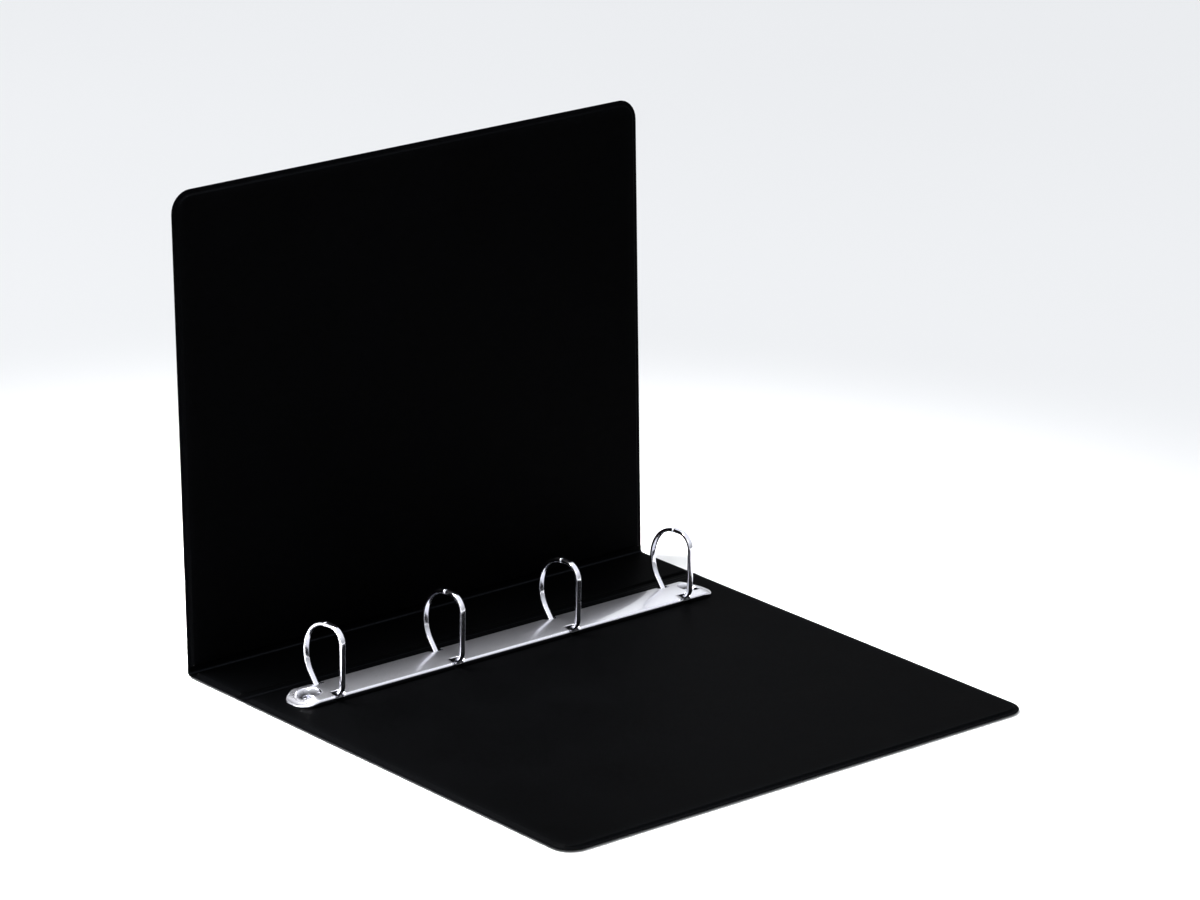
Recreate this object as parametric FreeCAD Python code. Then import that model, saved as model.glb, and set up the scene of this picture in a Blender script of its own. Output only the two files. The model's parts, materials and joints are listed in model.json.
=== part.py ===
"""Four-ring D-ring binder, standing open: back cover and spine flat, front cover upright.

Millimetres. The origin is on the resting plane, under the middle of the ring mechanism.
+X runs from the spine to the back cover's free edge, +Y from the bottom edge to the top
edge, and +Z up from the resting plane. Every cover panel is a board between two vinyl
skins, whose flanges are welded together at the rim and along the hinges.
"""
import FreeCAD, Part
import math
import os

Vec = FreeCAD.Vector
ORIGIN = Vec(0, 0, 0)
AXIS_X = Vec(1, 0, 0)
AXIS_Y = Vec(0, 1, 0)
RIGHT, LEFT = 1, -1
SAME_PLACE = 0.001

# Cover panels
COVER_LENGTH = 315.0
BACK_FREE_EDGE_X = 240.0
BACK_HINGE_X = -24.5
FRONT_HINGE_X = -71.0
FRONT_WIDTH = 262.0
FRONT_LEAN_DEG = 2.5
HINGE_Z = 1.3
HINGE_GAP = 3.6
HINGE_RIM_WIDTH = 1.0
HINGE_CORNER_R = 1.0
RIM_WIDTH = 3.0
CORNER_R = 12.0
BOARD_THICKNESS = 2.0
BOARD_CLEARANCE = 0.05
SKIN = 0.3
FILM = 0.2
FILM_SIDE_INSET = 2.5
FILM_TOP_INSET = 6.0
WEB_CLEARANCE = 0.1

# The ring mechanism's cover plate, with a scooped seat for a rivet at each end
PLATE_HALF_WIDTH = 11.5
PLATE_HALF_LENGTH = 143.5
PLATE_NOSE_R = 10.0
PLATE_SHEET = 0.7
PLATE_BEND_R = 1.5
PLATE_EDGE_Z = 5.8
PLATE_CREST_Z = 7.3
ARCH_HALF_LENGTH = 139.0
NOSE_SLOPE_RUN = 2.5
SEAT_R = 4.8
SEAT_SLOPE = 0.45
LIP_Z = 2.9
LIP_THICKNESS = 0.5
LIP_WIDTH = 2.2
LIP_HALF_LENGTH = 124.5
NOTCH_WIDTH = 5.2
NOTCH_INNER_X = 6.4

# Blades under the plate, and the tabs that keep their middle edges level with each other
BLADE_PIVOT_X = 10.2
BLADE_PIVOT_Z = 4.2
BLADE_THICKNESS = 0.7
BLADE_REST_DEG = 4.5
BLADE_HALF_LENGTH = 123.5
BLADE_MIDDLE_GAP = 0.25
TAB_LENGTH = 8.0
TAB_REACH = 1.4
TAB_CLEARANCE = 0.25
RIGHT_TAB_YS = (-20.0, 60.0)
LEFT_TAB_YS = (-80.0, 0.0, 80.0)

# Rings, bent from flattened wire; every bend is given at the middle of the wire
RING_PITCH = 80.0
RING_COUNT = 4
BAND_THICKNESS = 2.1
BAND_WIDTH = 3.0
BAND_EDGE_R = 0.75
FOOT_X = 8.0
FOOT_DEPTH = 0.9
FOOT_HOLE_CLEARANCE = 0.02
RING_TOP_Z = 42.25
LEFT_LEG_DEG = 40.0
LEFT_R = 19.4
RIGHT_LEG_DEG = 45.0
RIGHT_LOWER_BEND_R = 5.0
RIGHT_POST_X = 13.5
RIGHT_TOP_BEND_R = 8.5
TONGUE_REACH = 0.8
TIP_GAP = 0.08

# Rivets that hold the mechanism to the back cover
RIVET_Y = 131.5
RIVET_SHANK_R = 2.2
RIVET_CLEARANCE = 0.1
RIVET_HEAD_R = 5.0
RIVET_HEAD_THICKNESS = 0.7
RIVET_TOP_R = 3.6
RIVET_TOP_HEIGHT = 1.2
RIVET_TOP_ROUNDING = 0.9
RIVET_EYE_R = 1.3
RIVET_EYE_DEPTH = 1.0

# Worked out from the sizes above
HALF_LENGTH = COVER_LENGTH / 2
LINER_TOP_Z = 2 * SKIN + BOARD_THICKNESS
SEAT_TOP_Z = LINER_TOP_Z + PLATE_SHEET
RING_YS = [RING_PITCH * (i - (RING_COUNT - 1) / 2) for i in range(RING_COUNT)]


def upright_edges(solid):
    """The straight edges that run along Z."""
    return [e for e in solid.Edges if abs(e.tangentAt(e.FirstParameter).z) > 0.99]


def plate(x0, x1, y0, y1, z0, z1, r_low=0.0, r_high=0.0):
    """A flat plate with corner radius r_low at its low-X end and r_high at its high-X end."""
    solid = Part.makeBox(x1 - x0, y1 - y0, z1 - z0, Vec(x0, y0, z0))
    for x, r in ((x0, r_low), (x1, r_high)):
        if r > 0:
            corners = [e for e in upright_edges(solid) if abs(e.CenterOfMass.x - x) < SAME_PLACE]
            solid = solid.makeFillet(r, corners)
    return solid


def both_sides(solid):
    """A solid on the right together with its mirror image on the left."""
    return solid.fuse(solid.mirror(ORIGIN, AXIS_X))


def save(name, shape):
    """Writes one node."""
    shape.exportStep("parts/" + name + ".step")


# ---- Cover panels, drawn flat with the outside face down ----


class Panel:
    """One board and the vinyl round it, between two edges that are each free or at a hinge."""

    def __init__(self, low_x, high_x, low_is_hinge, high_is_hinge, base_z):
        self.x0 = low_x + HINGE_GAP if low_is_hinge else low_x
        self.x1 = high_x - HINGE_GAP if high_is_hinge else high_x
        self.low_r = HINGE_CORNER_R if low_is_hinge else CORNER_R
        self.high_r = HINGE_CORNER_R if high_is_hinge else CORNER_R
        self.low_rim = HINGE_RIM_WIDTH if low_is_hinge else RIM_WIDTH
        self.high_rim = HINGE_RIM_WIDTH if high_is_hinge else RIM_WIDTH
        self.base_z = base_z
        self.top_z = base_z + 2 * SKIN + BOARD_THICKNESS

    def slab(self, margin, z0, z1):
        """The board's outline grown by margin, from z0 to z1."""
        y = HALF_LENGTH - RIM_WIDTH + margin
        low_r = max(self.low_r - self.low_rim + margin, 0.0)
        high_r = max(self.high_r - self.high_rim + margin, 0.0)
        return plate(self.x0 + self.low_rim - margin, self.x1 - self.high_rim + margin, -y, y, z0, z1,
                     low_r, high_r)

    def flange(self, z0, z1):
        """The whole vinyl outline, out to the rim, from z0 to z1."""
        return plate(self.x0, self.x1, -HALF_LENGTH, HALF_LENGTH, z0, z1, self.low_r, self.high_r)

    def board(self):
        """The stiff board."""
        return self.slab(0.0, self.base_z + SKIN, self.top_z - SKIN)

    def outer_skin(self):
        """A shallow tray under the board, with its flange at the height of the hinges."""
        tray = self.slab(BOARD_CLEARANCE + SKIN, self.base_z, HINGE_Z)
        hollow = self.slab(BOARD_CLEARANCE, self.base_z + SKIN, HINGE_Z)
        return tray.fuse(self.flange(HINGE_Z - SKIN, HINGE_Z)).cut(hollow).removeSplitter()

    def liner(self):
        """The matching tray over the board, on the inside of the cover."""
        tray = self.slab(BOARD_CLEARANCE + SKIN, HINGE_Z, self.top_z)
        hollow = self.slab(BOARD_CLEARANCE, HINGE_Z, self.top_z - SKIN)
        return tray.fuse(self.flange(HINGE_Z, HINGE_Z + SKIN)).cut(hollow).removeSplitter()

    def pocket_film(self):
        """The clear sheet on the outside, welded on three sides and open at the top."""
        y = HALF_LENGTH - RIM_WIDTH
        return plate(self.x0 + self.low_rim + FILM_SIDE_INSET, self.x1 - self.high_rim - FILM_SIDE_INSET,
                     FILM_SIDE_INSET - y, y - FILM_TOP_INSET, 0.0, FILM)


def stand_up(shape):
    """Turns a piece of the front cover from flat to its upright rest position."""
    shape.rotate(Vec(FRONT_HINGE_X, 0, HINGE_Z), AXIS_Y, 90 - FRONT_LEAN_DEG)
    return shape


def web(x0, x1):
    """The two skins welded to each other, from x0 to x1."""
    return plate(x0, x1, -HALF_LENGTH, HALF_LENGTH, HINGE_Z - SKIN, HINGE_Z + SKIN)


def back_hinge_web():
    """Joined to the back cover, and reaching past the hinge line almost to the spine's skins."""
    return web(BACK_HINGE_X - HINGE_GAP + WEB_CLEARANCE, BACK_HINGE_X + HINGE_GAP)


def front_hinge_web():
    """Joined to the spine, and bent up at the hinge line towards the front cover."""
    flat = web(FRONT_HINGE_X, FRONT_HINGE_X + HINGE_GAP)
    turned = stand_up(web(FRONT_HINGE_X - HINGE_GAP + WEB_CLEARANCE, FRONT_HINGE_X))
    bend = Part.makeCylinder(SKIN, COVER_LENGTH, Vec(FRONT_HINGE_X, -HALF_LENGTH, HINGE_Z), AXIS_Y)
    return flat.fuse(turned).fuse(bend).removeSplitter()


# ---- The mechanism's cover plate ----


def arch(inset):
    """A long solid with a round top, moved inwards by inset, and upright sides down to z = 0."""
    rise = PLATE_CREST_Z - PLATE_EDGE_Z
    radius = (PLATE_HALF_WIDTH ** 2 + rise ** 2) / (2 * rise)
    half_width = PLATE_HALF_WIDTH - inset
    side_z = PLATE_CREST_Z - radius + math.sqrt((radius - inset) ** 2 - half_width ** 2)
    y = -PLATE_HALF_LENGTH
    left = Vec(-half_width, y, side_z)
    crest = Vec(0, y, PLATE_CREST_Z - inset)
    right = Vec(half_width, y, side_z)
    low_right = Vec(half_width, y, 0)
    low_left = Vec(-half_width, y, 0)
    edges = [Part.Arc(left, crest, right).toShape(), Part.makeLine(right, low_right),
             Part.makeLine(low_right, low_left), Part.makeLine(low_left, left)]
    solid = Part.Face(Part.Wire(edges)).extrude(Vec(0, 2 * PLATE_HALF_LENGTH, 0))
    bends = [e for e in solid.Edges
             if abs(e.CenterOfMass.z - side_z) < SAME_PLACE and abs(e.CenterOfMass.y) < SAME_PLACE]
    return solid.makeFillet(PLATE_BEND_R - inset, bends)


def mitre(depth, run, rise):
    """How far a slope's corner moves sideways when its sheet is offset downwards by depth."""
    return depth * (math.hypot(run, rise) - run) / rise


def end_trims(depth):
    """What the plate's top, or a surface this deep under it, loses at its ends.

    A slope leads down to the flat nose, and a cone round the rivet scoops its seat out of the arch.
    """
    crest = PLATE_CREST_Z - depth
    flat = SEAT_TOP_Z - depth
    rise = PLATE_CREST_Z - SEAT_TOP_Z
    slope_start = ARCH_HALF_LENGTH - mitre(depth, NOSE_SLOPE_RUN, rise)
    seat_r = SEAT_R + mitre(depth, SEAT_SLOPE * rise, rise)
    height = 2 * crest - flat
    trims = []
    for side in (RIGHT, LEFT):
        profile = [(slope_start, crest), (slope_start + NOSE_SLOPE_RUN, flat), (HALF_LENGTH, flat),
                   (HALF_LENGTH, 2 * crest), (slope_start, 2 * crest), (slope_start, crest)]
        corners = [Vec(-2 * PLATE_HALF_WIDTH, side * y, z) for y, z in profile]
        slope = Part.Face(Part.makePolygon(corners)).extrude(Vec(4 * PLATE_HALF_WIDTH, 0, 0))
        centre = Vec(0, side * RIVET_Y, flat)
        trims += [slope, Part.makeCone(seat_r, seat_r + SEAT_SLOPE * height, height, centre)]
    return trims


def nose_block(inset):
    """The plate's outline seen from above, with its rounded nose ends, as a tall block."""
    x = PLATE_HALF_WIDTH - inset
    y = PLATE_HALF_LENGTH - inset
    block = plate(-x, x, -y, y, LINER_TOP_Z, 2 * PLATE_CREST_Z)
    return block.makeFillet(PLATE_NOSE_R - inset, upright_edges(block))


def pressed_form(depth):
    """Everything under the plate's top, or under the surface this deep inside it."""
    form = arch(depth).common(nose_block(depth))
    for trim in end_trims(depth):
        form = form.cut(trim)
    return form


def ring_cover_plate():
    """Pressed sheet: an arch with turned-in lips, notched at each ring, with a seat at each end."""
    lips = both_sides(plate(PLATE_HALF_WIDTH - LIP_WIDTH, PLATE_HALF_WIDTH, -LIP_HALF_LENGTH,
                            LIP_HALF_LENGTH, LIP_Z, LIP_Z + LIP_THICKNESS))
    under_lips = plate(-PLATE_HALF_WIDTH, PLATE_HALF_WIDTH, -LIP_HALF_LENGTH, LIP_HALF_LENGTH, 0.0, LIP_Z)
    shell = pressed_form(0.0).cut(pressed_form(PLATE_SHEET)).fuse(lips).cut(under_lips)
    for y in RING_YS:
        shell = shell.cut(both_sides(plate(NOTCH_INNER_X, 2 * PLATE_HALF_WIDTH, y - NOTCH_WIDTH / 2,
                                           y + NOTCH_WIDTH / 2, 0.0, 2 * PLATE_CREST_Z)))
    for side in (RIGHT, LEFT):
        shell = shell.cut(rivet_bore(side * RIVET_Y))
    return shell.removeSplitter()


# ---- Blades ----


def blade(side):
    """A flat strip that pivots on its rounded outer edge; drawn level on the right, then tilted."""
    z0 = BLADE_PIVOT_Z - BLADE_THICKNESS / 2
    z1 = BLADE_PIVOT_Z + BLADE_THICKNESS / 2
    strip = plate(BLADE_MIDDLE_GAP, BLADE_PIVOT_X, -BLADE_HALF_LENGTH, BLADE_HALF_LENGTH, z0, z1)
    strip = strip.fuse(Part.makeCylinder(BLADE_THICKNESS / 2, 2 * BLADE_HALF_LENGTH,
                                         Vec(BLADE_PIVOT_X, -BLADE_HALF_LENGTH, BLADE_PIVOT_Z), AXIS_Y))
    own_tabs, other_tabs = (RIGHT_TAB_YS, LEFT_TAB_YS) if side == RIGHT else (LEFT_TAB_YS, RIGHT_TAB_YS)
    for y in own_tabs:
        reach = TAB_LENGTH / 2
        strip = strip.fuse(plate(-TAB_REACH, BLADE_MIDDLE_GAP, y - reach, y + reach, z0, z1))
    for y in other_tabs:
        reach = TAB_LENGTH / 2 + TAB_CLEARANCE
        strip = strip.cut(plate(0.0, TAB_REACH + TAB_CLEARANCE, y - reach, y + reach, z0, z1))
    strip.rotate(Vec(BLADE_PIVOT_X, 0, BLADE_PIVOT_Z), AXIS_Y, -BLADE_REST_DEG)
    if side == LEFT:
        strip = strip.mirror(ORIGIN, AXIS_X)
    for y in RING_YS:
        strip = strip.cut(foot(side, y, FOOT_HOLE_CLEARANCE))
    return strip.removeSplitter()


# ---- Rings ----


def leg_deg(side):
    """How far a leg leans outwards from upright where it leaves the blade."""
    return RIGHT_LEG_DEG if side == RIGHT else LEFT_LEG_DEG


def foot(side, y, clearance):
    """The leaning end of a leg, with the wire's rounded section, from its end up past the blade."""
    half_x = BAND_THICKNESS / 2 + clearance
    half_y = BAND_WIDTH / 2 + clearance
    block = plate(-half_x, half_x, -half_y, half_y, -FOOT_DEPTH - clearance, BLADE_PIVOT_Z)
    block = block.makeFillet(BAND_EDGE_R, upright_edges(block))
    block.rotate(ORIGIN, AXIS_Y, side * leg_deg(side))
    block.translate(Vec(side * FOOT_X, y, BLADE_PIVOT_Z))
    return block


def arc(centre_x, centre_z, radius, from_deg, to_deg):
    """An arc in the XZ plane, with its angles counted from +X towards +Z."""
    points = []
    for turn in (from_deg, (from_deg + to_deg) / 2, to_deg):
        angle = math.radians(turn)
        points.append(Vec(centre_x + radius * math.cos(angle), 0, centre_z + radius * math.sin(angle)))
    return Part.Arc(*points).toShape()


def foot_end(side):
    """Middle of the leg's lower end."""
    lean = math.radians(leg_deg(side))
    return Vec(side * (FOOT_X - FOOT_DEPTH * math.sin(lean)), 0, BLADE_PIVOT_Z - FOOT_DEPTH * math.cos(lean))


def left_path():
    """Straight up from the foot along the leaning leg, then one large round side over to the tip."""
    lean = math.radians(LEFT_LEG_DEG)
    centre_z = RING_TOP_Z - LEFT_R
    height = centre_z - BLADE_PIVOT_Z
    centre_x = (LEFT_R - height * math.sin(lean)) / math.cos(lean) - FOOT_X
    leg_top = Vec(centre_x - LEFT_R * math.cos(lean), 0, centre_z - LEFT_R * math.sin(lean))
    tip_deg = math.degrees(math.acos((2 * TONGUE_REACH - centre_x) / LEFT_R))
    return [Part.makeLine(foot_end(LEFT), leg_top),
            arc(centre_x, centre_z, LEFT_R, 180 + LEFT_LEG_DEG, tip_deg)]


def right_path():
    """Along the leaning leg, a bend up to the straight post, then the top bend and the flat top."""
    lean = math.radians(RIGHT_LEG_DEG)
    lower_x = RIGHT_POST_X - RIGHT_LOWER_BEND_R
    bend_reach = RIGHT_LOWER_BEND_R * math.tan(lean / 2)
    lower_z = BLADE_PIVOT_Z + (RIGHT_POST_X - FOOT_X) / math.tan(lean) + bend_reach
    leg_top = Vec(lower_x + RIGHT_LOWER_BEND_R * math.cos(lean), 0,
                  lower_z - RIGHT_LOWER_BEND_R * math.sin(lean))
    top_x = RIGHT_POST_X - RIGHT_TOP_BEND_R
    top_z = RING_TOP_Z - RIGHT_TOP_BEND_R
    return [
        Part.makeLine(foot_end(RIGHT), leg_top),
        arc(lower_x, lower_z, RIGHT_LOWER_BEND_R, -RIGHT_LEG_DEG, 0),
        Part.makeLine(Vec(RIGHT_POST_X, 0, lower_z), Vec(RIGHT_POST_X, 0, top_z)),
        arc(top_x, top_z, RIGHT_TOP_BEND_R, 0, 90),
        Part.makeLine(Vec(top_x, 0, RING_TOP_Z), Vec(-2 * TONGUE_REACH, 0, RING_TOP_Z)),
    ]


def swept_band(path, side):
    """The wire's section swept along its bent path."""
    start = foot_end(side)
    section = min(foot(side, 0.0, 0.0).Faces, key=lambda face: (face.CenterOfMass - start).Length).OuterWire
    pipe = Part.BRepOffsetAPI.MakePipeShell(Part.Wire(path))
    pipe.setBiNormalMode(AXIS_Y)
    pipe.add(section)
    pipe.build()
    pipe.makeSolid()
    return pipe.shape()


def tip_spaces(side):
    """The space beyond one half's stepped tip: in front of its tongue, and in its socket."""
    half_gap = TIP_GAP / 2
    spaces = []
    for way in (RIGHT, LEFT):
        edge_x = way * TONGUE_REACH + side * half_gap
        x0, x1 = sorted((edge_x, -side * RIGHT_TOP_BEND_R))
        inner_y = -way * half_gap if way == side else 0.0
        y0, y1 = sorted((inner_y, way * BAND_WIDTH))
        spaces.append(plate(x0, x1, y0, y1, RING_TOP_Z - LEFT_R, RING_TOP_Z + LEFT_R))
    return spaces


def ring_half(side, y):
    """One half of a ring, from its foot in the blade to its stepped tip."""
    path = right_path() if side == RIGHT else left_path()
    band = swept_band(path, side)
    for space in tip_spaces(side):
        band = band.cut(space)
    band.translate(Vec(0, y, 0))
    return band


# ---- Rivets ----


def rivet_bore(y):
    """Clearance hole for a rivet's shank, right through the stack."""
    return Part.makeCylinder(RIVET_SHANK_R + RIVET_CLEARANCE, PLATE_CREST_Z, Vec(0, y, 0))


def rivet_recess(y):
    """Room for a rivet's flat head, so that it doesn't stand out of the back cover."""
    return Part.makeCylinder(RIVET_HEAD_R + RIVET_CLEARANCE, RIVET_HEAD_THICKNESS, Vec(0, y, 0))


def rivet(y):
    """Flat head outside, shank, and a domed top with a round eye on the plate's seat."""
    head = Part.makeCylinder(RIVET_HEAD_R, RIVET_HEAD_THICKNESS, Vec(0, y, 0))
    shank = Part.makeCylinder(RIVET_SHANK_R, SEAT_TOP_Z, Vec(0, y, 0))
    top = Part.makeCylinder(RIVET_TOP_R, RIVET_TOP_HEIGHT, Vec(0, y, SEAT_TOP_Z))
    rim = [e for e in top.Edges if e.BoundBox.ZMin > SEAT_TOP_Z + RIVET_TOP_HEIGHT / 2]
    top = top.makeFillet(RIVET_TOP_ROUNDING, rim)
    eye_z = SEAT_TOP_Z + RIVET_TOP_HEIGHT - RIVET_EYE_DEPTH
    eye = Part.makeCylinder(RIVET_EYE_R, RIVET_TOP_HEIGHT, Vec(0, y, eye_z))
    return head.fuse(shank).fuse(top).cut(eye).removeSplitter()


def with_rivet_holes(shape, hole):
    """Cuts one kind of hole at both rivets."""
    for side in (RIGHT, LEFT):
        shape = shape.cut(hole(side * RIVET_Y))
    return shape


# ---- Every node ----


def save_back_cover():
    panel = Panel(BACK_HINGE_X, BACK_FREE_EDGE_X, True, False, 0.0)
    for name, shape in (("back_board", panel.board()), ("back_outer_skin", panel.outer_skin())):
        save(name, with_rivet_holes(with_rivet_holes(shape, rivet_bore), rivet_recess))
    save("back_liner", with_rivet_holes(panel.liner(), rivet_bore))
    save("back_hinge_web", back_hinge_web())


def save_spine():
    panel = Panel(FRONT_HINGE_X, BACK_HINGE_X, True, True, FILM)
    save("spine_board", panel.board())
    save("spine_outer_skin", panel.outer_skin())
    save("spine_liner", panel.liner())
    save("spine_pocket_film", panel.pocket_film())
    save("front_hinge_web", front_hinge_web())


def save_front_cover():
    panel = Panel(FRONT_HINGE_X - FRONT_WIDTH, FRONT_HINGE_X, False, True, FILM)
    save("front_board", stand_up(panel.board()))
    save("front_outer_skin", stand_up(panel.outer_skin()))
    save("front_liner", stand_up(panel.liner()))
    save("front_pocket_film", stand_up(panel.pocket_film()))


def save_mechanism():
    save("ring_cover_plate", ring_cover_plate())
    save("mechanism_rivets", Part.Compound([rivet(side * RIVET_Y) for side in (LEFT, RIGHT)]))
    for side, name in ((LEFT, "left"), (RIGHT, "right")):
        save(name + "_blade", blade(side))
        for number, y in enumerate(RING_YS, 1):
            save("ring_" + name + "_" + str(number), ring_half(side, y))


os.makedirs("parts", exist_ok=True)
save_back_cover()
save_spine()
save_front_cover()
save_mechanism()
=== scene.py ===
"""Looks of the open ring binder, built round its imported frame. Metres, in the frame's own axes."""
import json
import math

import bmesh
import bpy
from mathutils import Matrix, Vector, noise


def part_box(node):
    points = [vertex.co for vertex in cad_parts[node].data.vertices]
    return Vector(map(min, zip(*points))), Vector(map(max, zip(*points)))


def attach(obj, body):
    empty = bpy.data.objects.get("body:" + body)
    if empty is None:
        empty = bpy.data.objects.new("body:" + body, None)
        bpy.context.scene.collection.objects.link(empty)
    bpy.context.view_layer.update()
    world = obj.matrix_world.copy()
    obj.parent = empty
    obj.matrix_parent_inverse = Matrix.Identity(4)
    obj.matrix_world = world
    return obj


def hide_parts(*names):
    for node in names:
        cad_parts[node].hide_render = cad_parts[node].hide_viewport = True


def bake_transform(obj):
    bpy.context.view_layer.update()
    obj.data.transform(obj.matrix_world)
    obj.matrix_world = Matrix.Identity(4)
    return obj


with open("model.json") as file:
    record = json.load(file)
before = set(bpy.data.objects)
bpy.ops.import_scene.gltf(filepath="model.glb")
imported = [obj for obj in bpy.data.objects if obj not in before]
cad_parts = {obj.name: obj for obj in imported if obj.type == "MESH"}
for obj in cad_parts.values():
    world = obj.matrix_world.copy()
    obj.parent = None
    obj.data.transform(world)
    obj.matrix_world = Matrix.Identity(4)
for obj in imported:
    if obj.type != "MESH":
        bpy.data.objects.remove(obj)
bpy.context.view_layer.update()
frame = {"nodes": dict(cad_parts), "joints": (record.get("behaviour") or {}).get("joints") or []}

MM = 0.001
JOINTS = {joint["name"]: joint for joint in frame["joints"]}
SPINE_HINGE = Vector(JOINTS["spine_hinge"]["pos_m"])
FRONT_HINGE = Vector(JOINTS["front_cover_hinge"]["pos_m"])
# Height at which the outside and the inside vinyl meet, on a panel that lies flat
MID_Z = FRONT_HINGE.z
# The front cover lies flat at its hinge's lower limit, so that limit is how far it stands up at rest.
STAND_UP = -math.radians(JOINTS["front_cover_hinge"]["range_deg"][0])

# Wear and painted light: a value kept at each point of a mesh, from 0 to 1, for its material to read. It
# marks worn free edges of the panels, painted highlights on board edges, knurled dots and hinge folds,
# painted sheen on the films, and painted shade in the plate's rivet seats
WEAR_AND_PAINTED_LIGHT = "wear_and_painted_light"
# Pale vinyl colour for worn edges, also used for the painted highlights
PALE_VINYL_WEAR_AND_HIGHLIGHT = 0.06
EDGE_WEAR = 0.02
EDGE_WEAR_REACH = 9 * MM
# Painted highlight: a pale line on the outside vinyl along the board's edge beside each hinge
BOARD_EDGE_HIGHLIGHT = 0.6
BOARD_EDGE_DEPTH = 3.1 * MM
BOARD_EDGE_HALF = 0.35 * MM
# Painted highlight on the knurled dots of the hinge welds
KNURL_HIGHLIGHT = 0.5
# Painted highlight along the fold inside each hinge web: its width and strength
CREASE_HALF = 0.7 * MM
BACK_CREASE_HIGHLIGHT = 0.05
FRONT_CREASE_HIGHLIGHT = 0.2

# Vinyl panels; a depth is a distance inwards from the outline, and pairs are where a change starts and ends
SHEET = 0.27 * MM
CORNER_R = 12 * MM
HINGE_CORNER_R = 1 * MM
SMALLEST_R = 0.5 * MM
RIM = 3 * MM
HINGE_RIM = 1 * MM
RIM_HALF = 0.34 * MM
RIM_ROUND = 0.34 * MM
RIM_ROUND_SHARE = 0.85
BOARD_RISE = (1.9 * MM, 3.5 * MM)
HINGE_BOARD_RISE = (0.6 * MM, 4.0 * MM)
WELD_DEPTH = 1.65 * MM
WELD_HALF = 0.22 * MM
WELD_GROOVE = 0.13 * MM
SWAY_RISE = (4 * MM, 30 * MM)
OUTSIDE_SWAY = 0.04 * MM
INSIDE_SWAY = 0.06 * MM

# Mesh steps of the panels and films: close together over the rim and the board's edge, then wider
PANEL_DEPTHS_MM = (0, 0.05, 0.12, 0.22, 0.34, 0.8, 1.3, 1.45, 1.6, 1.75, 1.9, 2.1, 2.3, 2.5, 2.7, 2.9, 3.1,
                   3.3, 3.6, 4.0, 4.6, 5.6)
FILM_DEPTHS_MM = (0, 0.08, 0.2, 0.5, 0.9, 1.1, 1.3, 1.6, 2.0, 2.6, 3.5, 5.0)
FIRST_STEP = 2 * MM
STEP_GROWTH = 1.25
LARGEST_STEP = 7 * MM
MIDDLE_GAP = 1.2 * MM
LOOP_STEPS_X = 40
LOOP_STEPS_Y = 48
PANEL_ARC_STEPS = 8
FILM_ARC_STEPS = 4

# Hinge webs; an AT is a distance from the hinge line
WEB_OVERLAP = 0.3 * MM
WEB_HALF = RIM_HALF - 0.03 * MM
WEB_STEPS = 36
BEND_REACH = 2.2 * MM
BEAD_AT = 2.7 * MM
BEAD_HALF = 0.25 * MM
BEAD_HEIGHT = 0.12 * MM
KNURL_PITCH = 1.25 * MM
KNURL_AT = 0.8 * MM
KNURL_HALF = 0.4 * MM
KNURL_HEIGHT = 0.2 * MM
FOLD_HALF = 0.45 * MM
FOLD_HEIGHT = 0.16 * MM
VALLEY_AT = 1.0 * MM
VALLEY_HALF = 0.4 * MM
VALLEY_DEPTH = 0.05 * MM

# Pocket films; the mouth is the free top edge
FILM_SHEET = 0.07 * MM
FILM_CORNER_R = 2 * MM
FILM_HEIGHT = 0.15 * MM
FILM_LIFT = 0.05 * MM
FILM_LIFT_RISE = (1.0 * MM, 2.4 * MM)
FILM_WELD_DEPTH = 0.55 * MM
FILM_WELD_HALF = 0.2 * MM
FILM_WELD_GROOVE = 0.03 * MM
MOUTH_REACH = 30 * MM
MOUTH_DEPTH = 3 * MM
BULGE_RISE = (3 * MM, 40 * MM)
FRONT_BULGE = 0.18 * MM

# Rings: flattened wire, given at its middle line; the right half's box gives its top and its post
BAND_THICKNESS = 2.1 * MM
BAND_WIDTH = 3.0 * MM
BAND_SQUARENESS = 0.5
BAND_STEPS = 14
BAND_SEAM = BAND_WIDTH / 80
RING_COUNT = 4
RING_BOXES = [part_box(f"ring_right_{number}") for number in range(1, RING_COUNT + 1)]
RING_YS = [(low.y + high.y) / 2 for low, high in RING_BOXES]
RING_TOP_Z = RING_BOXES[0][1].z - BAND_THICKNESS / 2
POST_X = RING_BOXES[0][1].x - BAND_THICKNESS / 2
BLADE_PIVOT_Z = JOINTS["right_ring_hinge"]["pos_m"][2]
FOOT_X = 8.0 * MM
LEFT_LEG_DEG = 40.0
LEFT_R = 19.4 * MM
RIGHT_LEG_DEG = 45.0
RIGHT_LOWER_BEND_R = 5.0 * MM
RIGHT_TOP_BEND_R = 8.5 * MM
WIRE_STEP = 1.0 * MM
WIRE_BEND_STEP_DEG = 3
TONGUE_REACH = 0.8 * MM
TIP_GAP = 0.08 * MM
TIP_FLARE = 0.06
TIP_FLARE_FALL = (1.0 * MM, 3.5 * MM)

# The mechanism's cover plate; its box gives its outline and its crest
PLATE_LOW, PLATE_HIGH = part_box("ring_cover_plate")
PLATE_HALF_WIDTH = PLATE_HIGH.x
PLATE_HALF_LENGTH = PLATE_HIGH.y
PLATE_RISE = 1.5 * MM
PLATE_NOSE_R = 10.0 * MM
PLATE_BEND = 1.5 * MM
PLATE_BEND_SHARE = 0.7
PLATE_INNER = PLATE_HALF_WIDTH - PLATE_BEND
PLATE_SHEET = 0.7 * MM
NOTCH_HALF = 2.6 * MM
NOTCH_INNER_X = 6.4 * MM
RIVET_HEAD_R = 5.0 * MM
RIVET_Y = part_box("mechanism_rivets")[1].y - RIVET_HEAD_R
SEAT_Z = 3.3 * MM
SEAT_R = 4.6 * MM
SEAT_WALL = 2.0 * MM
SEAT_SHADE = (SEAT_R + 0.4 * MM, SEAT_R + 1.6 * MM)
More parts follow.
